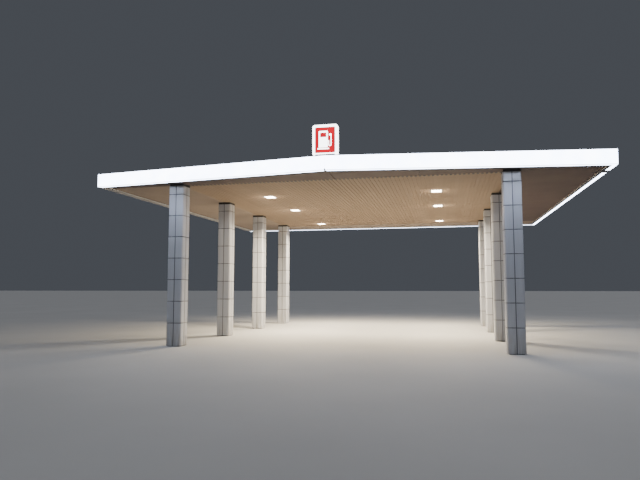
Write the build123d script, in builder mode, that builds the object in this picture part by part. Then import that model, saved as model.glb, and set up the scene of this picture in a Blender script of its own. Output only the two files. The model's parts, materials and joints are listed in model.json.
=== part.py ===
"""Filling station canopy: two rows of clad columns under a flat roof with a lit, kinked fascia.

Frame: millimetres, X along the rear edge, front of the canopy towards -Y, Z up.
The origin is on the ground below the middle of the canopy's plan.
"""
from build123d import *
from math import atan2, ceil, cos, hypot, tan
import os

os.makedirs("parts", exist_ok=True)

# plan of the canopy
CANOPY_WIDTH = 13750
ROW_SPACING = 9030          # column centres across the driveway
BAY = 3530                  # column centres along a row
COLUMNS_PER_ROW = 4
FRONT_OVERHANG = 435        # first column centre to the front corners
REAR_OVERHANG = 1900        # last column centre to the rear edge
NOSE_DEPTH = 855            # how far the middle of the front stands ahead of its corners

# column cladding
COLUMN_SIZE = 440
CORNER_FOLD = 32            # narrow face folded across each corner
JOINT = 12                  # open joint between cassettes
PANEL_PITCH = 600
FIRST_JOINT_HEIGHT = 640
BASE_GAP = 15               # cladding to the ground
HEAD_GAP = 65               # cladding to the ceiling
CASSETTE_DEPTH = 30

# posts inside the cladding
POST_SIZE = 220
POST_WALL = 10
BASE_PLATE_SIZE = 360
BASE_PLATE_THICKNESS = 20
CAP_PLATE_SIZE = 300
CAP_PLATE_THICKNESS = 15
COLLAR_INSET = 12           # dark collar at the head, behind the face of the cladding
RAIL_WIDTH = 60
RAIL_WALL = 3

# ceiling
CEILING_HEIGHT = 4545       # underside of the strips above the ground
CEILING_DEPTH = 15
STRIP_PITCH = 112.5         # nearest whole number of strips fills the width
STRIP_GAP = 12.5
FIELD_SETBACK = 100         # first column centre to the front of the strips
REAR_BORDER = 1130          # strips to the rear fascia
PANEL_GAP = 10
POST_CUTOUT = 300
CARRIER_WIDTH = 30
CARRIER_DEPTH = 25
CARRIERS_PER_RUN = 4
CARRIER_INSET = 400
HANGER_WIDTH = 20
HANGER_SPACING = 3600
HANGERS_PER_CARRIER = 4

# fascia light boxes
FASCIA_HEIGHT = 378
FASCIA_DEPTH = 170
FASCIA_DROP = 42            # below the ceiling
FASCIA_SHEET = 6
MITRE_GAP = 6
NOSE_NOTCH = 36             # open corner under the joint at the nose
LIP_GAP = 45                # open joint in the lip of the right side
LIP_GAP_DISTANCE = 850      # behind the front right corner
COPING_WIDTH = 200
COPING_THICKNESS = 6

# roof structure
EDGE_BEAM_WIDTH = 60
EDGE_BEAM_WALL = 8
BEAM_DEPTH = 180
BEAM_WIDTH = 150
BEAM_WEB = 8
BEAM_FLANGE = 12
LONG_BEAMS = 3              # lines of beams along the roof, from one column row to the other
PURLIN_DEPTH = 80
PURLIN_WIDTH = 60
DECK_HEIGHT = 30
DECK_SHEET = 3
DECK_PITCH = 380
DECK_CREST = 90
DECK_SLOPE = 30             # run of each sloping side of a rib
DECK_CLEARANCE = 5          # deck to the coping
GUTTER_WIDTH = 160
GUTTER_DEPTH = 80
GUTTER_SHEET = 4

# downlights
LIGHT_OFFSET = 2640         # each side of the centre line
LIGHT_DISTANCES = (2587, 2178, 3232)    # one in each bay, behind its front column line
LIGHT_WIDTH = 320
LIGHT_LENGTH = 420
LIGHT_HEIGHT = 50
LIGHT_FLANGE = 30
LIGHT_FLANGE_DEPTH = 8
LENS_THICKNESS = 4
LIGHT_CLEARANCE = 5

# sign on the nose of the fascia
SIGN_WIDTH = 640
SIGN_HEIGHT = 780
SIGN_DEPTH = 140
SIGN_CORNER = 60
SIGN_RIM = 30
SIGN_FACE = 8

# heights and lines that follow from the sizes above
half_width = CANOPY_WIDTH / 2
row_length = (COLUMNS_PER_ROW - 1) * BAY
rear_y = (NOSE_DEPTH + FRONT_OVERHANG + row_length + REAR_OVERHANG) / 2
nose_y = -rear_y
corner_y = nose_y + NOSE_DEPTH
front_slope = atan2(NOSE_DEPTH, half_width)
front_column_y = corner_y + FRONT_OVERHANG
column_lines = [front_column_y + BAY * i for i in range(COLUMNS_PER_ROW)]
cladding_top = CEILING_HEIGHT - HEAD_GAP
ceiling_top = CEILING_HEIGHT + CEILING_DEPTH
carrier_top = ceiling_top + CARRIER_DEPTH
beam_bottom = carrier_top + CAP_PLATE_THICKNESS
beam_top = beam_bottom + BEAM_DEPTH
purlin_top = beam_top + PURLIN_DEPTH
fascia_bottom = CEILING_HEIGHT - FASCIA_DROP
fascia_top = fascia_bottom + FASCIA_HEIGHT
coping_top = fascia_top + COPING_THICKNESS
edge_beam_face = FASCIA_DEPTH + EDGE_BEAM_WIDTH
field_half_width = ROW_SPACING / 2
field_front = front_column_y + FIELD_SETBACK
field_rear = rear_y - FASCIA_DEPTH - REAR_BORDER
middle_line = (field_front + field_rear) / 2
strip_length = middle_line - PANEL_GAP / 2 - field_front
strip_runs = [field_front, middle_line + PANEL_GAP / 2]
gutter_front = rear_y - edge_beam_face - GUTTER_WIDTH
post_places = [(side * ROW_SPACING / 2, y) for side in (-1, 1) for y in column_lines]
light_places = [(side * LIGHT_OFFSET, y + d) for side in (-1, 1) for y, d in zip(column_lines, LIGHT_DISTANCES)]
RUNS = {"front_left": 0, "front_right": 1, "right": 2, "rear": 3, "left": 4}


def plan_corners(inset):
    """Corners of the plan moved inwards, from the front left anticlockwise seen from above."""
    side = half_width - inset
    nose = nose_y + inset / cos(front_slope)
    corner = nose + side * tan(front_slope)
    rear = rear_y - inset
    return [(-side, corner), (0, nose), (side, corner), (side, rear), (-side, rear)]


def run_outline(run, outer_inset, inner_inset):
    """Four corners of one mitred run of the fascia, short of its neighbours by the mitre gap."""
    outer, inner = plan_corners(outer_inset), plan_corners(inner_inset)
    following = (run + 1) % len(outer)
    dx, dy = outer[following][0] - outer[run][0], outer[following][1] - outer[run][1]
    gap = MITRE_GAP / 2 / hypot(dx, dy)
    ends = [(outer[run], 1), (outer[following], -1), (inner[following], -1), (inner[run], 1)]
    return [(x + way * gap * dx, y + way * gap * dy) for (x, y), way in ends]


def finish(piece, name):
    """Label a finished piece and write it."""
    piece.label = name
    export_step(piece, f"parts/{name}.step")


# column cladding: four corner cassettes on each level, with open joints between them
joint_count = 1 + int((cladding_top - JOINT - FIRST_JOINT_HEIGHT) / PANEL_PITCH)
joint_heights = [FIRST_JOINT_HEIGHT + PANEL_PITCH * i for i in range(joint_count)]
level_bottoms = [BASE_GAP] + [z + JOINT / 2 for z in joint_heights]
level_tops = [z - JOINT / 2 for z in joint_heights] + [cladding_top]
for index, (x, y) in enumerate(post_places):
    name = f"cladding_{'left' if x < 0 else 'right'}_{index % COLUMNS_PER_ROW + 1}"
    inner = COLUMN_SIZE - 2 * CASSETTE_DEPTH
    with BuildPart() as cladding:
        for bottom, top in zip(level_bottoms, level_tops):
            with BuildSketch(Plane.XY.offset(bottom)) as outline:
                with Locations((x, y)):
                    Rectangle(COLUMN_SIZE, COLUMN_SIZE)
                chamfer(outline.vertices(), CORNER_FOLD)
                with Locations((x, y)):
                    Rectangle(inner, inner, mode=Mode.SUBTRACT)
                    Rectangle(JOINT, COLUMN_SIZE, mode=Mode.SUBTRACT)
                    Rectangle(COLUMN_SIZE, JOINT, mode=Mode.SUBTRACT)
            extrude(amount=top - bottom)
    finish(cladding.part, name)

# steel posts with their base and cap plates, and a collar that closes the head of the cladding
for index, (x, y) in enumerate(post_places):
    name = f"post_{'left' if x < 0 else 'right'}_{index % COLUMNS_PER_ROW + 1}"
    with BuildPart() as post:
        with BuildSketch():
            with Locations((x, y)):
                Rectangle(BASE_PLATE_SIZE, BASE_PLATE_SIZE)
        extrude(amount=BASE_PLATE_THICKNESS)
        with BuildSketch(Plane.XY.offset(BASE_PLATE_THICKNESS)):
            with Locations((x, y)):
                Rectangle(POST_SIZE, POST_SIZE)
                Rectangle(POST_SIZE - 2 * POST_WALL, POST_SIZE - 2 * POST_WALL, mode=Mode.SUBTRACT)
        extrude(amount=carrier_top - BASE_PLATE_THICKNESS)
        with BuildSketch(Plane.XY.offset(cladding_top)):
            with Locations((x, y)):
                Rectangle(COLUMN_SIZE - 2 * COLLAR_INSET, COLUMN_SIZE - 2 * COLLAR_INSET)
                Rectangle(POST_SIZE, POST_SIZE, mode=Mode.SUBTRACT)
        extrude(amount=HEAD_GAP)
        with BuildSketch(Plane.XY.offset(carrier_top)):
            with Locations((x, y)):
                Rectangle(CAP_PLATE_SIZE, CAP_PLATE_SIZE)
        extrude(amount=CAP_PLATE_THICKNESS)
    finish(post.part, name)

# channel rails that carry the cassettes, one behind each vertical joint
rail_depth = (COLUMN_SIZE - POST_SIZE) / 2 - CASSETTE_DEPTH
for side, name in ((-1, "cladding_rails_left"), (1, "cladding_rails_right")):
    with BuildPart() as rails:
        with BuildSketch(Plane.XY.offset(BASE_PLATE_THICKNESS)):
            for x, y in post_places:
                if x * side < 0:
                    continue
                with Locations((x, y)):
                    with PolarLocations(POST_SIZE / 2 + rail_depth / 2, 4):
                        Rectangle(rail_depth, RAIL_WIDTH)
                    with PolarLocations(POST_SIZE / 2 + (rail_depth - RAIL_WALL) / 2, 4):
                        Rectangle(rail_depth - RAIL_WALL, RAIL_WIDTH - 2 * RAIL_WALL, mode=Mode.SUBTRACT)
        extrude(amount=cladding_top - BASE_PLATE_THICKNESS)
    finish(rails.part, name)


def cut_round_posts_and_lights():
    """Cut the ceiling sketch that is being drawn round the posts and the downlights."""
    with Locations(*post_places):
        Rectangle(POST_CUTOUT, POST_CUTOUT, mode=Mode.SUBTRACT)
    with Locations(*light_places):
        Rectangle(LIGHT_WIDTH + 2 * LIGHT_CLEARANCE, LIGHT_LENGTH + 2 * LIGHT_CLEARANCE, mode=Mode.SUBTRACT)


# strip ceiling between the column rows, in two runs butted at the middle line
strip_count = round(ROW_SPACING / STRIP_PITCH)
strip_pitch = ROW_SPACING / strip_count
for start, name in zip(strip_runs, ("ceiling_strips_front", "ceiling_strips_rear")):
    with BuildPart() as strips:
        with BuildSketch(Plane.XY.offset(CEILING_HEIGHT)):
            with Locations((0, start + strip_length / 2)):
                with GridLocations(strip_pitch, 1, strip_count, 1):
                    Rectangle(strip_pitch - STRIP_GAP, strip_length)
            cut_round_posts_and_lights()
        extrude(amount=CEILING_DEPTH)
    finish(strips.part, name)


def border_panels(name, cells):
    """Flat ceiling panels: cells of the plan inside the fascia, cut round the posts."""
    with BuildPart() as border:
        with BuildSketch(Plane.XY.offset(CEILING_HEIGHT)):
            for left, front, right, rear in cells:
                with Locations(((left + right) / 2, (front + rear) / 2)):
                    Rectangle(right - left - PANEL_GAP, rear - front - PANEL_GAP)
            Polygon(*plan_corners(FASCIA_DEPTH), align=None, mode=Mode.INTERSECT)
            cut_round_posts_and_lights()
        extrude(amount=CEILING_DEPTH)
    finish(border.part, name)


# flat border panels round the strips
across = [-half_width] + [field_half_width * share for share in (-1, -0.5, 0, 0.5, 1)] + [half_width]
front_line = field_front - PANEL_GAP / 2
rear_line = field_rear + PANEL_GAP / 2
border_panels("ceiling_border_front", [(a, nose_y, b, front_line) for a, b in zip(across, across[1:])])
border_panels("ceiling_border_rear", [(a, rear_line, b, rear_y) for a, b in zip(across, across[1:])])
for side, name in ((-1, "ceiling_border_left"), (1, "ceiling_border_right")):
    edges = sorted((side * field_half_width, side * half_width))
    border_panels(name, [(edges[0], front_line, edges[1], middle_line),
                         (edges[0], middle_line, edges[1], rear_line)])

# carriers across the strips, hung from the purlins
carrier_step = (strip_length - 2 * CARRIER_INSET) / (CARRIERS_PER_RUN - 1)
carrier_lines = [start + CARRIER_INSET + carrier_step * i for start in strip_runs for i in range(CARRIERS_PER_RUN)]
with BuildPart() as carriers:
    with BuildSketch(Plane.XY.offset(ceiling_top)):
        for y in carrier_lines:
            with Locations((0, y)):
                Rectangle(2 * (half_width - edge_beam_face), CARRIER_WIDTH)
        cut_round_posts_and_lights()
    extrude(amount=CARRIER_DEPTH)
    with BuildSketch(Plane.XY.offset(carrier_top)):
        for y in carrier_lines:
            with Locations((0, y)):
                with GridLocations(HANGER_SPACING, 1, HANGERS_PER_CARRIER, 1):
                    Rectangle(HANGER_WIDTH, HANGER_WIDTH)
        with Locations(*[(0, y) for y in column_lines]):
            Rectangle(CANOPY_WIDTH, BEAM_WIDTH, mode=Mode.SUBTRACT)
    extrude(amount=beam_top - carrier_top)
finish(carriers.part, "ceiling_carriers")



def draw_beam_section(place):
    """Add an I section to the sketch that is being drawn."""
    with Locations(place):
        Rectangle(BEAM_WIDTH, BEAM_DEPTH)
        with GridLocations(BEAM_WIDTH + BEAM_WEB, 1, 2, 1):
            Rectangle(BEAM_WIDTH, BEAM_DEPTH - 2 * BEAM_FLANGE, mode=Mode.SUBTRACT)


# cross beams over each pair of posts, and beams along the roof welded in level with them
beam_length = 2 * (half_width - edge_beam_face)
long_beam_spacing = ROW_SPACING / (LONG_BEAMS - 1)
with BuildPart() as beams:
    for y in column_lines:
        with BuildSketch(Plane.YZ.offset(-beam_length / 2)):
            draw_beam_section((y, beam_bottom + BEAM_DEPTH / 2))
        extrude(amount=beam_length)
    for i in range(LONG_BEAMS):
        with BuildSketch(Plane.XZ.offset(edge_beam_face - rear_y)):
            draw_beam_section((i * long_beam_spacing - ROW_SPACING / 2, beam_bottom + BEAM_DEPTH / 2))
        extrude(amount=rear_y - edge_beam_face - nose_y)
    with BuildSketch(Plane.XY.offset(beam_bottom)):
        Polygon(*plan_corners(edge_beam_face), align=None)
    extrude(amount=BEAM_DEPTH, mode=Mode.INTERSECT)
finish(beams.part, "cross_beams")

# channel round the edge of the roof, which carries the fascia
with BuildPart() as edge:
    for run in RUNS.values():
        with BuildSketch(Plane.XY.offset(beam_bottom)):
            Polygon(*run_outline(run, FASCIA_DEPTH, edge_beam_face), align=None)
        extrude(amount=purlin_top - beam_bottom)
        with BuildSketch(Plane.XY.offset(beam_bottom + EDGE_BEAM_WALL)):
            Polygon(*run_outline(run, FASCIA_DEPTH, edge_beam_face - EDGE_BEAM_WALL), align=None)
        extrude(amount=purlin_top - beam_bottom - 2 * EDGE_BEAM_WALL, mode=Mode.SUBTRACT)
finish(edge.part, "edge_beams")

# purlins across the roof above the carriers, with one more along the gutter
purlin_lines = carrier_lines + [gutter_front - PURLIN_WIDTH / 2]
with BuildPart() as purlins:
    with BuildSketch(Plane.XY.offset(beam_top)):
        with Locations(*[(0, y) for y in purlin_lines]):
            Rectangle(beam_length, PURLIN_WIDTH)
        Polygon(*plan_corners(edge_beam_face), align=None, mode=Mode.INTERSECT)
    extrude(amount=PURLIN_DEPTH)
finish(purlins.part, "purlins")

# ribbed roof deck that drains to the rear gutter
deck_inset = COPING_WIDTH + DECK_CLEARANCE
rib_count = 2 * ceil((half_width - deck_inset) / DECK_PITCH)
rib = [(0, 0), (DECK_SLOPE, DECK_HEIGHT), (DECK_SLOPE + DECK_CREST, DECK_HEIGHT), (2 * DECK_SLOPE + DECK_CREST, 0)]
deck_start = -rib_count * DECK_PITCH / 2
deck_points = [(deck_start + DECK_PITCH * i + x, z) for i in range(rib_count) for x, z in rib]
deck_points.append((-deck_start, 0))
deck_outline = [(x, z + DECK_SHEET) for x, z in deck_points] + deck_points[::-1]
with BuildPart() as deck:
    with BuildSketch(Plane.XZ.offset(-gutter_front)):
        with Locations((0, purlin_top)):
            Polygon(*deck_outline, align=None)
    extrude(amount=gutter_front - nose_y)
    with BuildSketch(Plane.XY.offset(purlin_top)):
        Polygon(*plan_corners(deck_inset), align=None)
    extrude(amount=DECK_HEIGHT + DECK_SHEET, mode=Mode.INTERSECT)
finish(deck.part, "roof_deck")

# box gutter along the rear edge beam
with BuildPart() as gutter:
    with BuildSketch(Plane.YZ.offset(-beam_length / 2)):
        with Locations((gutter_front + GUTTER_WIDTH / 2, purlin_top - GUTTER_DEPTH / 2)):
            Rectangle(GUTTER_WIDTH, GUTTER_DEPTH)
        with Locations((gutter_front + GUTTER_WIDTH / 2, purlin_top - GUTTER_DEPTH / 2 + GUTTER_SHEET)):
            Rectangle(GUTTER_WIDTH - 2 * GUTTER_SHEET, GUTTER_DEPTH, mode=Mode.SUBTRACT)
    extrude(amount=beam_length)
finish(gutter.part, "rear_gutter")

# fascia light boxes: a face that turns under as a lip, and the tray behind it
lip_gap_place = (half_width - FASCIA_SHEET - FASCIA_DEPTH / 2, corner_y + LIP_GAP_DISTANCE)
for run_name, run in RUNS.items():
    with BuildPart() as face:
        with BuildSketch(Plane.XY.offset(fascia_bottom)):
            Polygon(*run_outline(run, 0, FASCIA_DEPTH), align=None)
            if run_name == "right":
                with Locations(lip_gap_place):
                    Rectangle(FASCIA_DEPTH, LIP_GAP, mode=Mode.SUBTRACT)
        extrude(amount=FASCIA_SHEET)
        with BuildSketch(Plane.XY.offset(fascia_bottom + FASCIA_SHEET)):
            Polygon(*run_outline(run, 0, FASCIA_SHEET), align=None)
        extrude(amount=FASCIA_HEIGHT - FASCIA_SHEET)
        if run_name.startswith("front"):
            with BuildSketch(Plane.XZ.offset(-nose_y - NOSE_NOTCH)):
                with Locations((0, fascia_bottom)):
                    Polygon((-NOSE_NOTCH / 2, 0), (NOSE_NOTCH / 2, 0), (0, NOSE_NOTCH), align=None)
            extrude(amount=2 * NOSE_NOTCH, mode=Mode.SUBTRACT)
    finish(face.part, f"fascia_face_{run_name}")
    with BuildPart() as tray:
        with BuildSketch(Plane.XY.offset(fascia_bottom + FASCIA_SHEET)):
            Polygon(*run_outline(run, FASCIA_DEPTH - FASCIA_SHEET, FASCIA_DEPTH), align=None)
        extrude(amount=FASCIA_HEIGHT - FASCIA_SHEET)
        with BuildSketch(Plane.XY.offset(fascia_top - FASCIA_SHEET)):
            Polygon(*run_outline(run, FASCIA_SHEET, FASCIA_DEPTH), align=None)
        extrude(amount=FASCIA_SHEET)
    finish(tray.part, f"fascia_tray_{run_name}")

# folded coping on top of the fascia
with BuildPart() as coping:
    with BuildSketch(Plane.XY.offset(fascia_top)):
        for run in RUNS.values():
            Polygon(*run_outline(run, 0, COPING_WIDTH), align=None)
    extrude(amount=COPING_THICKNESS)
finish(coping.part, "coping")

# recessed downlights
with BuildPart() as housings:
    with BuildSketch(Plane.XY.offset(CEILING_HEIGHT - LIGHT_FLANGE_DEPTH)):
        with Locations(*light_places):
            Rectangle(LIGHT_WIDTH + 2 * LIGHT_FLANGE, LIGHT_LENGTH + 2 * LIGHT_FLANGE)
            Rectangle(LIGHT_WIDTH - LIGHT_FLANGE, LIGHT_LENGTH - LIGHT_FLANGE, mode=Mode.SUBTRACT)
    extrude(amount=LIGHT_FLANGE_DEPTH)
    with BuildSketch(Plane.XY.offset(CEILING_HEIGHT)):
        with Locations(*light_places):
            Rectangle(LIGHT_WIDTH, LIGHT_LENGTH)
    extrude(amount=LIGHT_HEIGHT)
finish(housings.part, "downlight_housings")

with BuildPart() as lenses:
    with BuildSketch(Plane.XY.offset(CEILING_HEIGHT - LENS_THICKNESS)):
        with Locations(*light_places):
            Rectangle(LIGHT_WIDTH - LIGHT_FLANGE, LIGHT_LENGTH - LIGHT_FLANGE)
    extrude(amount=LENS_THICKNESS)
finish(lenses.part, "downlight_lenses")

# upright sign cabinet with a panel let into each side, standing on the nose of the fascia
sign_y = nose_y + FASCIA_DEPTH / 2 + SIGN_WIDTH / 2 * tan(front_slope)
sign_centre = (0, coping_top + SIGN_HEIGHT / 2)
panel_size = (SIGN_WIDTH - 2 * SIGN_RIM, SIGN_HEIGHT - 2 * SIGN_RIM, SIGN_CORNER - SIGN_RIM)
with BuildPart() as cabinet:
    with BuildSketch(Plane.XZ.offset(-sign_y - SIGN_DEPTH / 2)):
        with Locations(sign_centre):
            RectangleRounded(SIGN_WIDTH, SIGN_HEIGHT, SIGN_CORNER)
    extrude(amount=SIGN_DEPTH)
    for end in (-1, 1):
        with BuildSketch(Plane.XZ.offset(-sign_y + end * SIGN_DEPTH / 2)):
            with Locations(sign_centre):
                RectangleRounded(*panel_size)
        extrude(amount=-end * SIGN_FACE, mode=Mode.SUBTRACT)
finish(cabinet.part, "sign_cabinet")

with BuildPart() as sign_faces:
    for end in (-1, 1):
        with BuildSketch(Plane.XZ.offset(-sign_y + end * SIGN_DEPTH / 2)):
            with Locations(sign_centre):
                RectangleRounded(*panel_size)
        extrude(amount=-end * SIGN_FACE)
finish(sign_faces.part, "sign_faces")
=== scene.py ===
"""Looks of a filling station canopy: finishes, small parts, floor, lights and camera, in metres."""

import json
from math import atan2, cos, pi, radians, tan

import bmesh
import bpy
from mathutils import Matrix, Vector


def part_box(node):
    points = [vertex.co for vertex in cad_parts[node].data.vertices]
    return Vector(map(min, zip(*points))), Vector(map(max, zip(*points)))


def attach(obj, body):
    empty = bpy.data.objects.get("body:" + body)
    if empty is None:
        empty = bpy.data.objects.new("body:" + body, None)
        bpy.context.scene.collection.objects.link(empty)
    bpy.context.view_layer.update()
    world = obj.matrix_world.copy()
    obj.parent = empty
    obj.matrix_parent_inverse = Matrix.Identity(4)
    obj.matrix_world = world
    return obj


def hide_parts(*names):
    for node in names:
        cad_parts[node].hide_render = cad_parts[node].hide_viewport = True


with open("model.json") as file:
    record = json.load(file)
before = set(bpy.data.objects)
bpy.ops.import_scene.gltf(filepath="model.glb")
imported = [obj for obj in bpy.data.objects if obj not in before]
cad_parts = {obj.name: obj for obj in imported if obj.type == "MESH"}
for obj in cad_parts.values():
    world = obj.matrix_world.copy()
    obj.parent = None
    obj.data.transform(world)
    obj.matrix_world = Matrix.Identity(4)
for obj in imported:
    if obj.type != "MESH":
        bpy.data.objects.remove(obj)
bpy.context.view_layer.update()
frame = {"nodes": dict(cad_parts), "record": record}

# sizes of the built canopy that its small parts follow
MITRE_GAP = 0.006           # between two runs of the fascia at a corner
FASCIA_DEPTH = 0.170
FASCIA_SHEET = 0.006
LIT_LIP = 0.105             # lit width of the lip, which a channel dark with painted shade closes inwards
NOSE_NOTCH = 0.036          # opening between the front lips at the nose
LIP_GAP = 0.045             # opening in the right lip
LIP_GAP_DISTANCE = 0.850    # from the front corner to that opening
COPING_WIDTH = 0.200
PANEL_PITCH = 0.600         # from one level of the cladding to the next
FIRST_JOINT_HEIGHT = 0.640
BORDER_PANEL_LENGTH = 2.2575
DECK_PITCH = 0.380
CEILING_MIDDLE = (0, 0.045, 0)    # on the line where the front and rear strips meet
ROW_SPACING = 9.030
STRIP_PITCH = ROW_SPACING / 80
LONGEST_PIECE = 7           # longer than any strip or panel, so that a pattern cell spans it
OPAL_SHEET = 2.3            # longest sheet of a light box
OPAL_JOINT = 0.002
PROFILE_BAR = 4.6           # longest bar of its edge profiles
PROFILE_JOINT = 0.001
FINE_RELIEF = 0.0001        # depth of orange peel in paint and of drawn lines in metal
SEAM = 0.0001               # vertices closer than this are one
NEAR_PLANE = 0.0005         # an edge this close to a plane lies in it

# camera, for a photograph of 640 by 480 pixels
PHOTO_WIDTH = 640
FOCAL_PIXELS = 561.4
SENSOR_WIDTH = 36
CAMERA_PLACE = (2.875, -20.23, 1.584)
CAMERA_TURN = 12.63         # degrees to the left of straight ahead
CAMERA_TILT = 4.97          # degrees above level
FARTHEST_VIEW = 1000

# main measures, read from the built canopy
column_names = [f"{side}_{number}" for side in ("left", "right") for number in range(1, 5)]
column_boxes = {name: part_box(f"cladding_{name}") for name in column_names}
column_centres = {name: (low + high) / 2 for name, (low, high) in column_boxes.items()}
column_half = (column_boxes["left_1"][1].x - column_boxes["left_1"][0].x) / 2
ceiling_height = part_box("ceiling_strips_front")[0].z
half_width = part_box("fascia_face_right")[1].x
rear_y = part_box("fascia_face_rear")[1].y
nose_y = -rear_y
corner_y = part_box("fascia_face_right")[0].y - MITRE_GAP / 2
front_slope = atan2(corner_y - nose_y, half_width)
fascia_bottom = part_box("fascia_face_right")[0].z
fascia_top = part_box("fascia_face_right")[1].z
RUNS = {"front_left": 0, "front_right": 1, "right": 2, "rear": 3, "left": 4}


def linear(code):
    """An sRGB hex colour as a linear one."""
    parts = [int(code[i:i + 2], 16) / 255 for i in (1, 3, 5)]
    return (*[part / 12.92 if part <= 0.04045 else ((part + 0.055) / 1.055) ** 2.4
              for part in parts], 1)


def feed(tree, node, inputs):
    """Sets a node's inputs, by name or number, to values or links them to other nodes' outputs."""
    for key, value in inputs.items():
        if isinstance(value, bpy.types.NodeSocket):
            tree.links.new(value, node.inputs[key])
        else:
            node.inputs[key].default_value = value


def add(tree, kind, inputs, **settings):
    """Adds a shader node with its settings, and feeds its inputs."""
    node = tree.nodes.new(kind)
    for key, value in settings.items():
        setattr(node, key, value)
    feed(tree, node, inputs)
    return node


def begin(name, metallic, roughness):
    """A new finish: the material, its node tree, its shader and the object's own coordinates."""
    finish = bpy.data.materials.new(name)
    finish.use_nodes = True
    tree = finish.node_tree
    shader = tree.nodes["Principled BSDF"]
    feed(tree, shader, {"Metallic": metallic, "Roughness": roughness})
    return finish, tree, shader, add(tree, "ShaderNodeTexCoord", {}).outputs["Object"]


def patches(tree, place, size, strength=1.0, stretch=(1, 1, 1), detail=4):
    """Cloudy patches of a real size, drawn out along an axis by a stretch under one."""
    thin, dense = 0.32, 0.68
    scale = [amount / size for amount in stretch]
    moved = add(tree, "ShaderNodeMapping", {"Vector": place, "Scale": scale}).outputs[0]
    noise = {"Vector": moved, "Scale": 1, "Detail": detail}
    cloud = add(tree, "ShaderNodeTexNoise", noise).outputs[0]
    spread = {0: cloud, 1: thin, 2: dense, 3: 0, 4: strength}
    return add(tree, "ShaderNodeMapRange", spread).outputs[0]


def each_piece(tree, place, origin, size):
    """One random share for each piece that is laid out on an even grid."""
    shift = {0: place, 1: origin}
    moved = add(tree, "ShaderNodeVectorMath", shift, operation="SUBTRACT").outputs[0]
    counted = add(tree, "ShaderNodeVectorMath", {0: moved, 1: size}, operation="DIVIDE").outputs[0]
    whole = add(tree, "ShaderNodeVectorMath", {0: counted}, operation="FLOOR").outputs[0]
    return add(tree, "ShaderNodeTexWhiteNoise", {"Vector": whole}).outputs["Value"]


def near_ground(tree, place, height, strength, streak_size):
    """Splashed streaks that thin out from the ground up to a height."""
    level = add(tree, "ShaderNodeSeparateXYZ", {0: place}).outputs[2]
    thinning = {0: level, 1: 0, 2: height, 3: strength, 4: 0}
    fade = add(tree, "ShaderNodeMapRange", thinning).outputs[0]
    streaks = patches(tree, place, streak_size, 1, (1, 1, 0.12))
    return add(tree, "ShaderNodeMath", {0: fade, 1: streaks}, operation="MULTIPLY").outputs[0]


def coats(tree, base, *layers):
    """A base colour with further colours over it, each as strong as the pattern beside it."""
    colour = linear(base)
    for strength, code in layers:
        mix = {0: strength, 6: colour, 7: linear(code)}
        colour = add(tree, "ShaderNodeMix", mix, data_type="RGBA").outputs[2]
    return colour


def joint_dirt_and_shade(tree, place):
    """How dark a spot of the cladding is with dirt and painted shade along the joints: most in a
    joint, none a little beside it.
    """
    full_reach, fade_reach, strength = 0.007, 0.012, 0.9
    first, second = column_centres["left_1"], column_centres["left_2"]
    origin = (first.x, first.y, FIRST_JOINT_HEIGHT)
    shift = {0: place, 1: origin}
    moved = add(tree, "ShaderNodeVectorMath", shift, operation="SUBTRACT").outputs[0]
    across, along, up = add(tree, "ShaderNodeSeparateXYZ", {0: moved}).outputs
    # the foot is left without this dirt and painted shade, as there is no joint below the first one
    lowest = {0: up, 1: -PANEL_PITCH / 2}
    up = add(tree, "ShaderNodeMath", lowest, operation="MAXIMUM").outputs[0]
    nearest = 1
    for offset, half_spacing in ((across, -first.x), (along, (second.y - first.y) / 2),
                                 (up, PANEL_PITCH / 2)):
        swing = {0: offset, 1: half_spacing}
        away = add(tree, "ShaderNodeMath", swing, operation="PINGPONG").outputs[0]
        nearest = add(tree, "ShaderNodeMath", {0: away, 1: nearest}, operation="MINIMUM").outputs[0]
    fade = {0: nearest, 1: full_reach, 2: fade_reach, 3: strength, 4: 0}
    return add(tree, "ShaderNodeMapRange", fade).outputs[0]


def silver_composite_panel():
    """Aluminium composite sheet, coil coated in silver metallic and folded into cassettes. The eye
    gets a soft sheen with fine flakes, flat faces that are not quite flat, one cassette a little
    lighter than the next, thin rain streaks, splashed dust at the foot, and dirt with painted shade
    dark along the joints."""
    splash_height, splash_streak, bulge_height = 0.8, 0.06, 0.0016
    finish, tree, shader, place = begin("silver_composite_panel", 0.25, 0.38)
    first, second = column_centres["left_1"], column_centres["left_2"]
    # cells near 250 mm that fit the grid of columns, with an edge down the middle of each column
    size = (2 * abs(first.x) / 36, abs(second.y - first.y) / 14, PANEL_PITCH)
    cassette = each_piece(tree, place, (first.x, first.y, FIRST_JOINT_HEIGHT), size)
    flakes = patches(tree, place, 0.002, 0.10, detail=0)
    clouds = patches(tree, place, 0.5, 0.3)
    rain = patches(tree, place, 0.04, 0.14, (1, 1, 0.04))
    splashes = near_ground(tree, place, splash_height, 0.8, splash_streak)
    # the last coat, #2e323b, is dirt and painted shade along the joints
    colour = coats(tree, "#cacdd4", (cassette, "#d6d9de"), (clouds, "#c2c5cd"), (rain, "#a0a3ab"),
                   (flakes, "#e8eaef"), (splashes, "#a09a91"),
                   (joint_dirt_and_shade(tree, place), "#2e323b"))
    sheen = {0: patches(tree, place, 0.15), 3: 0.33, 4: 0.43}
    rough = add(tree, "ShaderNodeMapRange", sheen).outputs[0]
    bulges = patches(tree, place, 0.35, detail=1)
    raised = {"Strength": 1, "Distance": bulge_height, "Height": bulges}
    waves = add(tree, "ShaderNodeBump", raised).outputs[0]
    feed(tree, shader, {"Base Color": colour, "Normal": waves, "Roughness": rough})
    return finish


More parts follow.
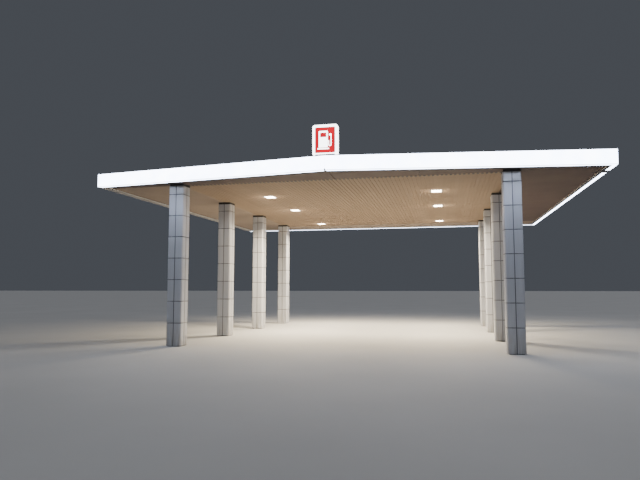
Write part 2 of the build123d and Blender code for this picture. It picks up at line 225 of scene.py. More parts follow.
def mill_aluminium():
    """Extruded aluminium, left as it came from the press and dulled outdoors. The eye gets a soft
    grey metal with fine drawn lines along its length and cloudy oxide."""
    finish, tree, shader, place = begin("mill_finish_aluminium", 0.9, 0.45)
    lines = patches(tree, place, 0.004, 1, (1, 1, 0.01))
    colour = coats(tree, "#747880", (lines, "#8e9299"), (patches(tree, place, 0.2, 0.4), "#6a6c70"))
    raised = {"Strength": 1, "Distance": FINE_RELIEF, "Height": lines}
    drawn = add(tree, "ShaderNodeBump", raised).outputs[0]
    feed(tree, shader, {"Base Color": colour, "Normal": drawn})
    return finish


def primed_steel(name, dark, light):
    """Hot rolled steel under a matt primer. The eye gets a dull even coat over grainy mill scale,
    with scuffs from handling."""
    scale_depth = 0.0003
    finish, tree, shader, place = begin(name, 0.0, 0.7)
    colour = coats(tree, dark, (patches(tree, place, 0.15), light),
                   (patches(tree, place, 0.02, 0.2, (1, 1, 0.4)), "#7c7468"))
    scale = patches(tree, place, 0.004)
    raised = {"Strength": 1, "Distance": scale_depth, "Height": scale}
    grain = add(tree, "ShaderNodeBump", raised).outputs[0]
    feed(tree, shader, {"Base Color": colour, "Normal": grain})
    return finish


def galvanised_steel():
    """Steel strip dipped in zinc. The eye gets crystals some 15 mm across that turn from light to
    dark grey."""
    crystal_size = 0.015
    finish, tree, shader, place = begin("galvanised_steel", 0.8, 0.45)
    cells = {"Vector": place, "Scale": 1 / crystal_size}
    crystals = add(tree, "ShaderNodeTexVoronoi", cells).outputs["Color"]
    shade = add(tree, "ShaderNodeSeparateColor", {0: crystals}).outputs[0]
    colour = coats(tree, "#83888d", (shade, "#a9aeb3"), (patches(tree, place, 0.3, 0.4), "#8d8c88"))
    rough = add(tree, "ShaderNodeMapRange", {0: shade, 3: 0.36, 4: 0.56}).outputs[0]
    feed(tree, shader, {"Base Color": colour, "Roughness": rough})
    return finish


def coil_coated_ceiling(name, base, other, piece_size):
    """Roll formed aluminium, coil coated in matt paint. The eye gets pieces that differ slightly
    from each other, faint lines along the rolling, soft patches of dust and a fine orange peel."""
    finish, tree, shader, place = begin(name, 0.0, 0.6)
    piece = each_piece(tree, place, CEILING_MIDDLE, piece_size)
    lines = patches(tree, place, 0.012, 0.6, (1, 0.01, 1), 2)
    dust = patches(tree, place, 0.8, 0.2)
    colour = coats(tree, base, (piece, other), (lines, other), (dust, "#7d7063"))
    raised = {"Strength": 1, "Distance": FINE_RELIEF, "Height": patches(tree, place, 0.006)}
    peel = add(tree, "ShaderNodeBump", raised).outputs[0]
    feed(tree, shader, {"Base Color": colour, "Normal": peel, "Specular IOR Level": 0.15})
    return finish


def lit_acrylic(name, colour, glow, strength):
    """Cast acrylic sheet with rows of lamps behind it. The eye gets an even glow, a little cooler
    between the lamps, under a smooth glossy skin."""
    ripple_depth, acrylic_ior = 0.0002, 1.49
    finish, tree, shader, place = begin(name, 0.0, 0.25)
    light = coats(tree, glow, (patches(tree, place, 0.35, 0.6, detail=1), colour))
    raised = {"Strength": 1, "Distance": ripple_depth, "Height": patches(tree, place, 0.08)}
    skin = add(tree, "ShaderNodeBump", raised).outputs[0]
    feed(tree, shader, {"Base Color": linear(colour), "IOR": acrylic_ior, "Emission Color": light,
                        "Emission Strength": strength, "Normal": skin})
    return finish


def powder_coat(name, base, other, roughness=0.4):
    """Polyester powder baked on sheet metal. The eye gets one even colour with a fine orange peel,
    clouded by a little grime."""
    finish, tree, shader, place = begin(name, 0.0, roughness)
    colour = coats(tree, base, (patches(tree, place, 0.4), other),
                   (patches(tree, place, 0.03, 0.12, (1, 1, 0.3)), "#77736c"))
    raised = {"Strength": 1, "Distance": FINE_RELIEF, "Height": patches(tree, place, 0.004)}
    peel = add(tree, "ShaderNodeBump", raised).outputs[0]
    feed(tree, shader, {"Base Color": colour, "Normal": peel, "Specular IOR Level": 0.3})
    return finish


def coated_roof_sheet():
    """Trapezoidal steel sheet, galvanised and coated pale grey. The eye gets water marks down the
    fall, dirt that lies in the valleys, and patches where the coat has weathered."""
    silt_depth = 0.004
    finish, tree, shader, place = begin("coated_roof_sheet", 0.0, 0.5)
    low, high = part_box("roof_deck")
    height = add(tree, "ShaderNodeSeparateXYZ", {0: place}).outputs[2]
    fade = {0: height, 1: low.z + silt_depth, 2: high.z, 3: 0.6, 4: 0}
    depth = add(tree, "ShaderNodeMapRange", fade).outputs[0]
    silt = patches(tree, place, 0.25, 1, (1, 0.3, 1))
    valleys = add(tree, "ShaderNodeMath", {0: depth, 1: silt}, operation="MULTIPLY").outputs[0]
    water = patches(tree, place, 0.09, 0.16, (1, 0.02, 1))
    colour = coats(tree, "#a3a7aa", (patches(tree, place, 1.5), "#b7babc"), (water, "#8d8d88"),
                   (valleys, "#77736b"))
    raised = {"Strength": 1, "Distance": FINE_RELIEF, "Height": patches(tree, place, 0.008)}
    peel = add(tree, "ShaderNodeBump", raised).outputs[0]
    feed(tree, shader, {"Base Color": colour, "Normal": peel})
    return finish


def prismatic_lens():
    """Pressed glass with square prisms 15 mm across over a warm white lamp. The eye gets a bright
    field broken into small squares."""
    prism_size, prism_depth, lamp_strength = 0.015, 0.002, 24
    finish, tree, shader, place = begin("prismatic_glass_lens", 0.0, 0.2)
    cells = {"Vector": place, "Scale": 1 / prism_size, "Randomness": 0}
    squares = add(tree, "ShaderNodeTexVoronoi", cells, distance="CHEBYCHEV").outputs["Distance"]
    light = coats(tree, "#fff8ea", (squares, "#ffe0b4"))
    raised = {"Strength": 1, "Distance": prism_depth, "Height": squares}
    pressed = add(tree, "ShaderNodeBump", raised).outputs[0]
    feed(tree, shader, {"Base Color": linear("#fff4e2"), "Emission Color": light,
                        "Emission Strength": lamp_strength, "Normal": pressed})
    return finish


def zinc_plated_fixing():
    """Zinc plated steel fixings. The eye gets a bright metal with a slight blue and yellow cast."""
    finish, tree, shader, place = begin("zinc_plated_fixing", 0.9, 0.35)
    colour = coats(tree, "#a9adb2", (patches(tree, place, 0.01), "#b9b4a4"))
    feed(tree, shader, {"Base Color": colour})
    return finish


strip_cell = (STRIP_PITCH, LONGEST_PIECE, 1)
panel_cell = (BORDER_PANEL_LENGTH, LONGEST_PIECE, 1)
finishes = {
    "column_cladding": silver_composite_panel(),
    "post_steel": primed_steel("dark_primed_steel", "#2b2c30", "#3a3b40"),
    "cladding_rail": mill_aluminium(),
    "structural_steel": primed_steel("grey_primed_steel", "#555a5e", "#6b7074"),
    "ceiling_carrier": galvanised_steel(),
    "ceiling_strip": coil_coated_ceiling("beige_ceiling_strip", "#8f7b67", "#998571", strip_cell),
    "ceiling_border": coil_coated_ceiling("beige_ceiling_panel", "#958679", "#9d8e81", panel_cell),
    "fascia_face_lit": lit_acrylic("lit_opal_acrylic", "#ccdbfb", "#e6eeff", 13),
    "fascia_face_plain": powder_coat("unlit_opal_panel", "#b5afa8", "#c0bab4", 0.3),
    "fascia_tray": powder_coat("white_coated_tray", "#c4c6c8", "#d2d4d6"),
    "coping": powder_coat("white_coated_coping", "#c9cbcd", "#dadcde"),
    "roof_deck": coated_roof_sheet(),
    "gutter": powder_coat("grey_coated_gutter", "#8c9196", "#9ea3a8"),
    "light_housing": powder_coat("grey_coated_housing", "#8c8882", "#98948e"),
    "light_lens": prismatic_lens(),
    "sign_cabinet": lit_acrylic("lit_white_acrylic", "#e9edf6", "#ffffff", 7),
    "sign_face": lit_acrylic("lit_red_acrylic", "#b80f26", "#e4142c", 1.4),
}
# painted shade: the beige panel paint darkened, for the front and right borders and the edge angle,
# where the ceiling gets less light
shaded_ceiling_panel = coil_coated_ceiling("shaded_beige_ceiling_panel", "#5c4e4a", "#635651", panel_cell)
# dark trim for the downlight clips; the same dark colour is painted shade on the strip end clips,
# the fascia edge channel and drip edge, and the plates and covers at the lip gaps
dark_trim_and_shade = powder_coat("dark_anodised_trim_and_painted_shade", "#3a3b42", "#46474e", 0.5)
fixings = zinc_plated_fixing()
for row in frame["record"]["subparts"]:
    for material_slot in frame["nodes"][row["node"]].material_slots:
        material_slot.material = finishes[row["material_slot"]]


def make_piece(name, bm, slot, finish=None, stands_for=()):
    """Makes a finished piece that rides on the canopy, in the finish of its slot unless given
    another, and hides the built parts that it stands for.
    """
    bmesh.ops.recalc_face_normals(bm, faces=bm.faces)
    mesh = bpy.data.meshes.new(name)
    bm.to_mesh(mesh)
    bm.free()
    mesh.materials.append(finish or finishes[slot])
    piece = bpy.data.objects.new(name, mesh)
    bpy.context.scene.collection.objects.link(piece)
    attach(piece, "root")
    if stands_for:
        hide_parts(*stands_for)


def bar(bm, low, high):
    """A straight block between two corners."""
    size = [b - a for a, b in zip(low, high)]
    centre = [(a + b) / 2 for a, b in zip(low, high)]
    place = Matrix.Translation(centre) @ Matrix.Diagonal((*size, 1))
    return bmesh.ops.create_cube(bm, size=1, matrix=place)["verts"]


def prism(bm, outline, low, high):
    """An upright block over a plan outline."""
    base = bm.faces.new([bm.verts.new((x, y, low)) for x, y in outline])
    grown = bmesh.ops.extrude_face_region(bm, geom=[base])["geom"]
    top = [item for item in grown if isinstance(item, bmesh.types.BMVert)]
    bmesh.ops.translate(bm, verts=top, vec=(0, 0, high - low))


def disc(bm, place, radius, height, sides=10, taper=1.0, out=(0, 0, 1)):
    """A round or many sided boss that stands on a face and points out from it."""
    turn = Vector((0, 0, 1)).rotation_difference(Vector(out)).to_matrix().to_4x4()
    middle = Matrix.Translation(Vector(place) + Vector(out) * height / 2) @ turn
    bmesh.ops.create_cone(bm, cap_ends=True, segments=sides, radius1=radius,
                          radius2=radius * taper, depth=height, matrix=middle)


def hex_screw(bm, place):
    """A hexagon head on its washer."""
    washer_radius, washer_height, head_radius, head_taper = 0.0096, 0.0024, 0.006, 0.92
    disc(bm, place, washer_radius, washer_height)
    head_place = Vector(place) + Vector((0, 0, washer_height))
    disc(bm, head_place, head_radius, head_radius, 6, head_taper)


def rivet(bm, place, radius, out=(0, 0, -1)):
    """A flat domed head on a face."""
    flatness = 0.4
    turn = Vector((0, 0, 1)).rotation_difference(Vector(out)).to_matrix().to_4x4()
    flat = Matrix.Translation(place) @ turn @ Matrix.Diagonal((1, 1, flatness, 1))
    bmesh.ops.create_uvsphere(bm, u_segments=8, v_segments=4, radius=radius, matrix=flat)


def round_edges(bm, edges, radius, segments=2):
    """Rounds edges to a radius."""
    bmesh.ops.bevel(bm, geom=edges, offset=radius, offset_type="OFFSET", segments=segments,
                    profile=0.5, affect="EDGES", material=-1, clamp_overlap=True)


def merged_copy(node):
    """A copy of a built node's mesh with its loose triangles joined into flat faces."""
    bm = bmesh.new()
    bm.from_mesh(frame["nodes"][node].data)
    bmesh.ops.remove_doubles(bm, verts=bm.verts, dist=SEAM)
    bmesh.ops.dissolve_limit(bm, angle_limit=radians(1), verts=bm.verts, edges=bm.edges)
    return bm


def soften(name, node, slot, radius, is_folded, finish=None):
    """A copy of a built node with its folded edges rounded, which stands for the node."""
    bm = merged_copy(node)
    round_edges(bm, [edge for edge in bm.edges if is_folded(edge)], radius)
    make_piece(name, bm, slot, finish, [node])


def solid_boxes(node):
    """The low and high corners of each separate solid of a built node."""
    bm = merged_copy(node)
    left, boxes = set(bm.verts), []
    while left:
        group, waiting = [], [left.pop()]
        while waiting:
            vert = waiting.pop()
            group.append(vert.co.copy())
            near = {edge.other_vert(vert) for edge in vert.link_edges} & left
            left -= near
            waiting.extend(near)
        boxes.append((Vector(map(min, *group)), Vector(map(max, *group))))
    bm.free()
    return sorted(boxes, key=lambda box: box[0].to_tuple(4))


def plan_corners(inset):
    """Corners of the plan moved inwards, from the front left anticlockwise seen from above."""
    side = half_width - inset
    nose = nose_y + inset / cos(front_slope)
    corner = nose + side * tan(front_slope)
    rear = rear_y - inset
    corners = (-side, corner), (0, nose), (side, corner), (side, rear), (-side, rear)
    return [Vector(c) for c in corners]


def run_length(run):
    """Length of one run of the fascia along its outer face."""
    corners = plan_corners(0)
    return (corners[(run + 1) % len(corners)] - corners[run]).length


def run_outline(run, outer, inner, start, end, gap=MITRE_GAP):
    """Plan outline of a stretch of one fascia run, mitred where it reaches a corner."""
    corners = plan_corners(0)
    following = (run + 1) % len(corners)
    along = (corners[following] - corners[run]).normalized()
    inwards = Vector((-along.y, along.x))
    sides = []
    for inset in (outer, inner):
        at_inset = plan_corners(inset)
        first = corners[run] + along * start + inwards * inset
        last = corners[run] + along * end + inwards * inset
        if start < SEAM:
            first = at_inset[run] + along * gap / 2
        if end > run_length(run) - SEAM:
            last = at_inset[following] - along * gap / 2
        sides.append((first, last))
    return [sides[0][0], sides[0][1], sides[1][1], sides[1][0]]


def sheets(run, longest, gap, openings=()):
    """Starts and ends of the sheets along a run, butted at even joints and stopped at its openings,
    with no joint near an opening."""
    length = run_length(run)
    count = max(1, round(length / longest))
    joints = [(length * i / count, gap) for i in range(1, count)]
    clear = [joint for joint in joints
             if all(abs(joint[0] - place) > longest / 3 for place, _ in openings)]
    cuts = sorted(clear + list(openings))
    starts = [0] + [place + width / 2 for place, width in cuts]
    ends = [place - width / 2 for place, width in cuts] + [length]
    return [(start, end) for start, end in zip(starts, ends) if end > start]


def build_cassettes():
    """Column cladding, with the bend radius of folded sheet on every outer edge."""
    bend_radius, outer_reach = 0.003, column_half - 0.001
    for name, middle in column_centres.items():

        def is_outside(edge, middle=middle):
            return all(max(abs(v.co.x - middle.x), abs(v.co.y - middle.y)) > outer_reach
                       for v in edge.verts)

        soften(f"cassettes_{name}", f"cladding_{name}", "column_cladding", bend_radius, is_outside)


def build_anchors():
    """Four anchor bolts with their washers and nuts on each base plate, inside the cladding."""
    plate_top, reach = 0.020, 0.142
    washer_height, nut_height, thread_height = 0.004, 0.019, 0.022
    bm = bmesh.new()
    for middle in column_centres.values():
        for x in (-reach, reach):
            for y in (-reach, reach):
                place = Vector((middle.x + x, middle.y + y, plate_top))
                disc(bm, place, 0.022, washer_height, 16)
                place.z += washer_height
                disc(bm, place, 0.018, nut_height, 6)
                place.z += nut_height
                disc(bm, place, 0.012, thread_height, 12)
    make_piece("anchor_bolts", bm, "post_steel", fixings)


def is_at_underside(edge):
    """Whether an edge runs round the underside of the ceiling."""
    return all(abs(v.co.z - ceiling_height) < NEAR_PLANE for v in edge.verts)


def build_ceiling():
    """Strips with rolled edges, profiles that close the slots between them, clips over their front
    ends that are dark with painted shade, folded border panels, the front and right ones in painted
    shade, and the riveted angle that holds them along the fascia, also in painted shade."""
    slots, clips = bmesh.new(), bmesh.new()
    half_slot, recess, sheet = 0.0063, 0.009, 0.001
    clip_half, clip_length, clip_drop = 0.028, 0.120, 0.006
    rolled_edge, folded_edge = 0.004, 0.003
    for part in ("front", "rear"):
        soften(f"strips_{part}", f"ceiling_strips_{part}", "ceiling_strip", rolled_edge,
               is_at_underside)
        low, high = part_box(f"ceiling_strips_{part}")
        slot_count = round((high.x - low.x) / STRIP_PITCH) - 1
        for i in range(slot_count):
            x = STRIP_PITCH * (i - (slot_count - 1) / 2)
            bar(slots, (x - half_slot, low.y, low.z + recess),
                (x + half_slot, high.y, low.z + recess + sheet))
            if part == "front":
                bar(clips, (x - clip_half, low.y, low.z - clip_drop),
                    (x + clip_half, low.y + clip_length, low.z))
    make_piece("strip_slot_profiles", slots, "ceiling_strip")
    # the clips are dark as painted shade where the strips end
    make_piece("strip_end_clips", clips, "ceiling_strip", dark_trim_and_shade)
    for part in ("front", "rear", "left", "right"):
        # the front and right borders take the painted shade
        soften(f"border_panels_{part}", f"ceiling_border_{part}", "ceiling_border", folded_edge,
               is_at_underside, shaded_ceiling_panel if part in ("front", "right") else None)
    angle, rivets = bmesh.new(), bmesh.new()
    sheet, leg, clearance, rivet_pitch = 0.002, 0.025, 0.0005, 0.45
    for run in RUNS.values():
        outline = run_outline(run, FASCIA_DEPTH + clearance, FASCIA_DEPTH + leg, 0,
                              run_length(run), 0)
        prism(angle, outline, ceiling_height - sheet, ceiling_height)
        corners = plan_corners(FASCIA_DEPTH + leg / 2)
        first, last = corners[run], corners[(run + 1) % len(corners)]
        count = round((last - first).length / rivet_pitch)
        for i in range(1, count):
            rivet(rivets, (*first.lerp(last, i / count), ceiling_height - sheet), 0.005)
    # the angle takes the same painted shade, as a dark line along the fascia
    make_piece("ceiling_edge_angle", angle, "ceiling_border", shaded_ceiling_panel)
    make_piece("ceiling_rivets", rivets, "ceiling_border")


def build_fascia():
    """Light boxes: opal sheets a little behind narrow edge profiles, over a lip that turns under.
    A channel closes the space from the lit lips to the ceiling, with a drip edge at the front;
    both are dark, partly as trim and partly as painted shade of that gap."""
    front = run_length(RUNS["front_left"])
    openings = {"front_left": [(front, NOSE_NOTCH)], "front_right": [(0, NOSE_NOTCH)],
                "right": [(LIP_GAP_DISTANCE, LIP_GAP)]}
    profile, thickness, setback = 0.012, 0.0018, 0.002
    channel_setback, drip_sheet, drip_height = 0.001, 0.003, 0.014
    lip_top = fascia_bottom + FASCIA_SHEET
    channel = bmesh.new()
    for name, run in RUNS.items():
        slot = "fascia_face_plain" if name == "left" else "fascia_face_lit"
        gaps = openings.get(name, ())
        panels, lip, profiles = bmesh.new(), bmesh.new(), bmesh.new()
        for start, end in sheets(run, OPAL_SHEET, OPAL_JOINT):
            prism(panels, run_outline(run, setback, FASCIA_SHEET, start, end), lip_top, fascia_top)
        lip_width = FASCIA_DEPTH if name == "left" else LIT_LIP
        for start, end in sheets(run, OPAL_SHEET, OPAL_JOINT, gaps):
            prism(lip, run_outline(run, setback, lip_width, start, end), fascia_bottom, lip_top)
            if name != "left":
                closing = run_outline(run, LIT_LIP + channel_setback, FASCIA_DEPTH, start, end)
                prism(channel, closing, fascia_bottom + channel_setback, lip_top)
        for start, end in sheets(run, PROFILE_BAR, PROFILE_JOINT, gaps):
            prism(profiles, run_outline(run, 0, thickness, start, end), fascia_bottom,
                  fascia_bottom + profile)
        for start, end in sheets(run, PROFILE_BAR, PROFILE_JOINT):
            prism(profiles, run_outline(run, 0, thickness, start, end), fascia_top - profile,
                  fascia_top)
        make_piece(f"fascia_panels_{name}", panels, slot, stands_for=[f"fascia_face_{name}"])
        if name.startswith("front"):
            for start, end in sheets(run, PROFILE_BAR, PROFILE_JOINT):
                edge = run_outline(run, FASCIA_DEPTH - drip_sheet, FASCIA_DEPTH, start, end)
                prism(channel, edge, fascia_bottom - drip_height, fascia_bottom)
        make_piece(f"fascia_lip_{name}", lip, slot)
        make_piece(f"fascia_profiles_{name}", profiles, "coping")
    # the channel and drip edge are dark trim that also paints the shade of the gap
    make_piece("fascia_edge_channel", channel, "fascia_tray", dark_trim_and_shade)


def build_joint_plates():
    """Plates behind the open joints of the light boxes, and plates over and covers under the gaps
    in
    the lip, dark as painted shade: a strap on the right, and a wedge at the nose that turns up over
    the bottom of the front."""
    corners, plates = bmesh.new(), bmesh.new()
    leg, near, far = 0.06, 0.008, 0.011
    low = fascia_bottom + FASCIA_SHEET
    plate_low, plate_high = low + 0.001, low + 0.004
    for run in RUNS.values():
        length = run_length(run)
        for start, end in ((0, leg), (length - leg, length)):
            prism(corners, run_outline(run, near, far, start, end, 0), low, fascia_top - near)
    gap_y = corner_y + LIP_GAP_DISTANCE
    bar(plates, (half_width - FASCIA_DEPTH + near, gap_y - LIP_GAP, plate_low),
        (half_width - far, gap_y + LIP_GAP, plate_high))
    bar(plates, (-NOSE_NOTCH, nose_y + far + 0.004, plate_low),
        (NOSE_NOTCH, nose_y + FASCIA_DEPTH - near, plate_high))
    half_strap, overlap = 0.14, 0.02
    cover_low, cover_high = fascia_bottom - 0.004, fascia_bottom - 0.0005
    bar(plates, (half_width - FASCIA_DEPTH - overlap, gap_y - half_strap, cover_low),
        (half_width - 0.004, gap_y + half_strap, cover_high))
    half_tip, half_tail = 0.012, 0.055
    tip_y, tail_y = nose_y + 0.003, nose_y + FASCIA_DEPTH + overlap
    wedge = [(-half_tip, tip_y), (half_tip, tip_y), (half_tail, tail_y), (-half_tail, tail_y)]
    prism(plates, wedge, cover_low, cover_high)
    upturn, upturn_sheet = 0.018, 0.0055
    disc(plates, (0, nose_y + 0.006, fascia_bottom + upturn), 2 * upturn, upturn_sheet, 3,
         out=(0, -1, 0))
    make_piece("fascia_corner_plates", corners, "fascia_tray")
    # the plates over and covers under the lip gaps are dark as painted shade
    make_piece("fascia_lip_plates", plates, "fascia_tray", dark_trim_and_shade)


def build_coping_parts():
    """Cover straps over the joints of the coping, each held by four rivets."""
    coping_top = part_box("coping")[1].z
    straps, rivets = bmesh.new(), bmesh.new()
    half_strap, sheet, longest_coping = 0.05, 0.0015, 3
    outer, inner = 0.002, COPING_WIDTH - 0.004
    for run in RUNS.values():
        count = round(run_length(run) / longest_coping)
        for i in range(count):
            middle = run_length(run) * (i + 0.5) / count
            outline = run_outline(run, outer, inner, middle - half_strap, middle + half_strap)
            prism(straps, outline, coping_top, coping_top + sheet)
            centre = sum(outline, Vector((0, 0))) / len(outline)
            for corner in outline:
                rivet(rivets, (*corner.lerp(centre, 0.25), coping_top + sheet), 0.004, (0, 0, 1))
    make_piece("coping_straps", straps, "coping")
    make_piece("coping_rivets", rivets, "coping", fixings)


def build_roof_screws():
    """Screws through every crest of the roof sheet into every purlin."""
    crest_offset, margin = 0.075, 0.04
    deck_low, deck_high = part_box("roof_deck")
    crest_count = round((deck_high.x - deck_low.x) / DECK_PITCH / 2) + 1
    crests = [DECK_PITCH * i + crest_offset for i in range(-crest_count, crest_count)]
    front_edge = plan_corners(COPING_WIDTH + margin)
    screws = bmesh.new()
    for low, high in solid_boxes("purlins"):
        y = (low.y + high.y) / 2
        for x in crests:
            front = front_edge[1].y + abs(x) * tan(front_slope)
            if abs(x) < front_edge[2].x and front < y < deck_high.y:
                hex_screw(screws, (x, y, deck_high.z))
    make_piece("roof_screws", screws, "roof_deck", fixings)


def build_gutter_parts():
    """Straps about a metre apart across the gutter, and a wire guard over each of its outlets."""
    half_strap, rivet_inset = 0.0125, 0.009
    flange_radius, flange_sheet, cage_radius, wire = 0.060, 0.003, 0.05, 0.004
    low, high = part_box("rear_gutter")
    strap_low, strap_high = high.z - 0.002, high.z + 0.001
    straps, flanges, cages = bmesh.new(), bmesh.new(), bmesh.new()
    count = round(high.x - low.x)
    for i in range(1, count):
        x = low.x + (high.x - low.x) * i / count
        bar(straps, (x - half_strap, low.y, strap_low), (x + half_strap, high.y, strap_high))
        for y in (low.y + rivet_inset, high.y - rivet_inset):
            rivet(straps, (x, y, strap_high), 0.004, (0, 0, 1))
    gutter_floor, beside_column = low.z + 0.004, 0.25
    for name in ("left_4", "right_4"):
        place = Vector((column_centres[name].x + beside_column, (low.y + high.y) / 2, gutter_floor))
        disc(flanges, place, flange_radius, flange_sheet, 24)
        bmesh.ops.create_uvsphere(cages, u_segments=12, v_segments=8, radius=cage_radius,
                                  matrix=Matrix.Translation(place))
    everything = cages.verts[:] + cages.edges[:] + cages.faces[:]
    bmesh.ops.bisect_plane(cages, geom=everything, plane_co=(0, 0, gutter_floor),
                           plane_no=(0, 0, 1), clear_inner=True)
    bmesh.ops.wireframe(cages, faces=cages.faces[:], thickness=wire, use_replace=True,
                        use_even_offset=True)
    make_piece("gutter_straps", straps, "gutter", finishes["ceiling_carrier"])
    make_piece("gutter_outlets", flanges, "gutter", finishes["ceiling_carrier"])
    make_piece("gutter_guards", cages, "gutter", finishes["ceiling_carrier"])


def build_downlights():
    """Frames with rounded edges, four screws each, and dark spring clips along the front edge."""
    frame_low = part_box("downlight_housings")[0].z
    edge_radius, screw_inset = 0.002, 0.022
    clip_half, clip_far, clip_near, clip_height = 0.015, 0.040, 0.006, 0.008

    def is_at_frame(edge):
        return all(abs(v.co.z - frame_low) < NEAR_PLANE for v in edge.verts)

    soften("downlight_frames", "downlight_housings", "light_housing", edge_radius, is_at_frame)
    screws, clips = bmesh.new(), bmesh.new()
    for low, high in solid_boxes("downlight_lenses"):
        for x in (low.x - screw_inset, high.x + screw_inset):
            for y in (low.y - screw_inset, high.y + screw_inset):
                rivet(screws, (x, y, frame_low), 0.005)
        for share in (0.2, 0.5, 0.8):
            x = low.x + (high.x - low.x) * share
            verts = bar(clips, (x - clip_half, low.y - clip_far, frame_low - clip_height),
                        (x + clip_half, low.y - clip_near, frame_low))
            edges = list({edge for vert in verts for edge in vert.link_edges})
            round_edges(clips, edges, edge_radius)
    make_piece("downlight_screws", screws, "light_housing", fixings)
    make_piece("downlight_clips", clips, "light_housing", dark_trim_and_shade)


def rounded_plate(bm, left, bottom, right, top, near, far, radius):
    """An upright plate with rounded corners that faces the front."""
    verts = bar(bm, (left, near, bottom), (right, far, top))
    edges = {edge for vert in verts for edge in vert.link_edges}
    corners = [edge for edge in edges if abs(edge.verts[0].co.y - edge.verts[1].co.y) > SEAM]
    round_edges(bm, corners, radius, 6)


def draw_pump(bm, z, near, far):
    """A plain fuel pump cut from sheet: body, foot, and a hose that hangs in a loop with its nozzle
    up, about a height z."""
    hose, bend, right = 0.022, 0.030, 0.070
    outlet, loop, hose_end, nozzle_top = z - 0.05, z - 0.13, z + 0.11, z + 0.145
    rounded_plate(bm, right - 0.23, z - 0.20, right, z + 0.22, near, far, 0.018)
    rounded_plate(bm, right - 0.26, z - 0.245, right + 0.03, z - 0.215, near, far, 0.004)
    inner = right + hose / 2 + 0.013
    outer = inner + 2 * bend
    bar(bm, (right, near, outlet), (inner + hose / 2, far, outlet + hose))
    bar(bm, (inner - hose / 2, near, loop), (inner + hose / 2, far, outlet))
    bar(bm, (outer - hose / 2, near, loop), (outer + hose / 2, far, hose_end))
    rounded_plate(bm, inner + 0.008, z + 0.10, outer + hose / 2, nozzle_top, near, far, 0.010)
    start = bmesh.ops.create_grid(bm, x_segments=1, y_segments=1, size=0.5)["verts"]
    section = Matrix.Diagonal((hose, far - near, 1, 1))
    place = Matrix.Translation((inner, (near + far) / 2, loop)) @ section
    bmesh.ops.transform(bm, verts=start, matrix=place)
    faces = list({face for vert in start for face in vert.link_faces})
    edges = list({edge for face in faces for edge in face.edges})
    bmesh.ops.spin(bm, geom=start + edges + faces, cent=(inner + bend, 0, loop), axis=(0, 1, 0),
                   angle=-pi, steps=12, use_duplicate=False)


def make_both_sides(name, bm, middle, slot, stands_for=()):
    """Repeats the front of the sign on its rear, turned half round, and makes the piece."""
    copy = bmesh.ops.duplicate(bm, geom=bm.verts[:] + bm.edges[:] + bm.faces[:])["geom"]
    verts = [item for item in copy if isinstance(item, bmesh.types.BMVert)]
    bmesh.ops.rotate(bm, cent=middle, matrix=Matrix.Rotation(pi, 3, "Z"), verts=verts)
    make_piece(name, bm, slot, stands_for=stands_for)


def build_sign():
    """Sign: white border round a red field with a plain pump on it, the same from both sides."""
    low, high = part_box("sign_faces")
    shell_low, shell_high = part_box("sign_cabinet")
    middle = (low + high) / 2

    def is_at_rim(edge):
        return all(min(abs(v.co.y - shell_low.y), abs(v.co.y - shell_high.y)) < NEAR_PLANE
                   for v in edge.verts)

    rim_radius = 0.004
    soften("sign_shell", "sign_cabinet", "sign_cabinet", rim_radius, is_at_rim)
    border, field, pump, window, cleats = (bmesh.new() for _ in range(5))
    # the layers of the face, from the outermost to the innermost
    layers = [low.y + depth for depth in (0.0005, 0.002, 0.0035, 0.005, 0.0075)]
    inset, pump_lift = 0.035, 0.01
    rounded_plate(border, low.x, low.z, high.x, high.z, layers[3], layers[4], 0.030)
    rounded_plate(field, low.x + inset, low.z + inset, high.x - inset, high.z - inset, layers[2],
                  layers[3], 0.025)
    draw_pump(pump, middle.z + pump_lift, layers[1], layers[2])
    rounded_plate(window, -0.125, middle.z + 0.07, 0.035, middle.z + 0.185, layers[0], layers[1],
                  0.010)
    half_cleat, cleat_sheet, cleat_foot, cleat_height = 0.25, 0.003, 0.014, 0.03
    cleat_y = shell_low.y - cleat_sheet
    bar(cleats, (-half_cleat, cleat_y, shell_low.z),
        (half_cleat, shell_low.y, shell_low.z + cleat_height))
    bar(cleats, (-half_cleat, shell_low.y - cleat_foot, shell_low.z),
        (half_cleat, cleat_y, shell_low.z + cleat_sheet))
    for i in range(5):
        rivet(cleats, (-0.22 + 0.11 * i, cleat_y, shell_low.z + 0.018), 0.004, (0, -1, 0))
    make_both_sides("sign_border", border, middle, "sign_cabinet", ["sign_faces"])
    make_both_sides("sign_field", field, middle, "sign_face")
    make_both_sides("sign_pump", pump, middle, "sign_cabinet")
    make_both_sides("sign_pump_window", window, middle, "sign_face")
    make_both_sides("sign_cleats", cleats, middle, "coping")


def shine(name, kind, place, target, energy, colour, turn=0, **settings):
    """A soft lamp that faces a target, turned about its own axis, and is not seen itself."""
    data = bpy.data.lights.new(name, kind)
    data.energy, data.color = energy, linear(colour)[:3]
    for key, value in settings.items():
        setattr(data, key, value)
    lamp = bpy.data.objects.new(name, data)
    aim = (Vector(target) - Vector(place)).to_track_quat("-Z", "Y")
    turned = aim.to_matrix().to_4x4() @ Matrix.Rotation(turn, 4, "Z")
    lamp.matrix_world = Matrix.Translation(place) @ turned
    bpy.context.scene.collection.objects.link(lamp)
    lamp.visible_camera = False
    # a point lamp would leave a streak in shiny faces
    lamp.visible_glossy = kind != "POINT"


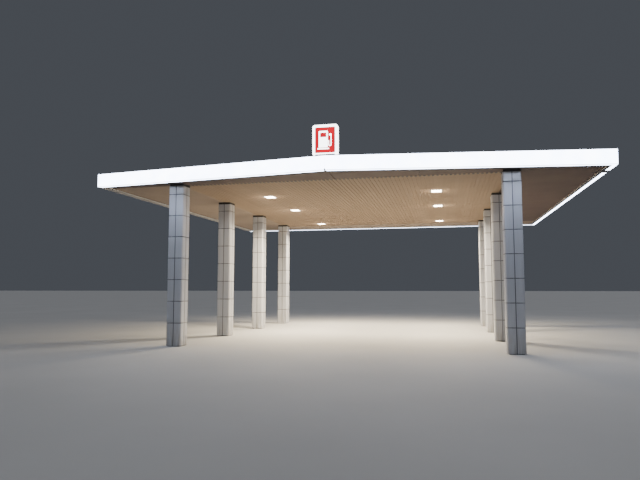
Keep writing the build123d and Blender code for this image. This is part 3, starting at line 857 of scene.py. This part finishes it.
def build_studio():
    """Plain pale floor, soft even light from the studio, and what the canopy's own lamps give."""
    floor_reach, sun_softness = 400, radians(50)
    bm = bmesh.new()
    bmesh.ops.create_grid(bm, x_segments=1, y_segments=1, size=floor_reach)
    mesh = bpy.data.meshes.new("floor")
    bm.to_mesh(mesh)
    bm.free()
    finish, tree, shader, place = begin("pale_studio_floor", 0.0, 0.8)
    feed(tree, shader, {"Base Color": coats(tree, "#a2a29f", (patches(tree, place, 3), "#a8a8a5"))})
    mesh.materials.append(finish)
    floor = bpy.data.objects.new("floor", mesh)
    bpy.context.scene.collection.objects.link(floor)
    world = bpy.data.worlds.new("studio")
    bpy.context.scene.world = world
    world.use_nodes = True
    sky = {"Color": linear("#8a909b"), "Strength": 0.27}
    feed(world.node_tree, world.node_tree.nodes["Background"], sky)
    shine("key", "SUN", (-8, -14, 34), (0, 0, 0), 0.35, "#f4f6ff", angle=sun_softness)
    shine("back", "SUN", (10, 16, 28), (0, 0, 0), 1.0, "#f4f6ff", angle=sun_softness)
    # watts, from the front to the rear on the left and then on the right
    powers = (100, 760, 620, 50, 600, 560)
    glow_power, below_lens, glow_drop = 16, 0.015, 0.25
    for (low, high), power in zip(solid_boxes("downlight_lenses"), powers):
        x, y = (low.x + high.x) / 2, (low.y + high.y) / 2
        shine("downlight", "AREA", (x, y, low.z - below_lens), (x, y, 0), power, "#ffecce",
              shape="RECTANGLE", size=0.28, size_y=0.38, spread=radians(152))
        shine("glow", "POINT", (x, y, low.z - glow_drop), (x, y, 0), glow_power, "#ffecce",
              shadow_soft_size=0.2)
    lip_power, lip_y, lip_z = 42, (nose_y + corner_y) / 2 + LIT_LIP / 2, fascia_bottom - 0.02
    for side in (-1, 1):
        x, turn = side * half_width / 2, side * front_slope
        shine("lip", "AREA", (x, lip_y, lip_z), (x, lip_y, 0), lip_power, "#dce7ff", turn,
              shape="RECTANGLE", size=half_width - 0.1, size_y=LIT_LIP, spread=radians(118))


def build_camera():
    """The camera at the photo's place and angle."""
    data = bpy.data.cameras.new("camera")
    data.sensor_width = SENSOR_WIDTH
    data.lens = FOCAL_PIXELS / PHOTO_WIDTH * SENSOR_WIDTH
    data.clip_end = FARTHEST_VIEW
    camera = bpy.data.objects.new("camera", data)
    camera.location = CAMERA_PLACE
    camera.rotation_euler = (radians(90 + CAMERA_TILT), 0, radians(CAMERA_TURN))
    bpy.context.scene.collection.objects.link(camera)
    bpy.context.scene.camera = camera


build_camera()
build_cassettes()
build_anchors()
build_ceiling()
build_fascia()
build_joint_plates()
build_coping_parts()
build_roof_screws()
build_gutter_parts()
build_downlights()
build_sign()
build_studio()
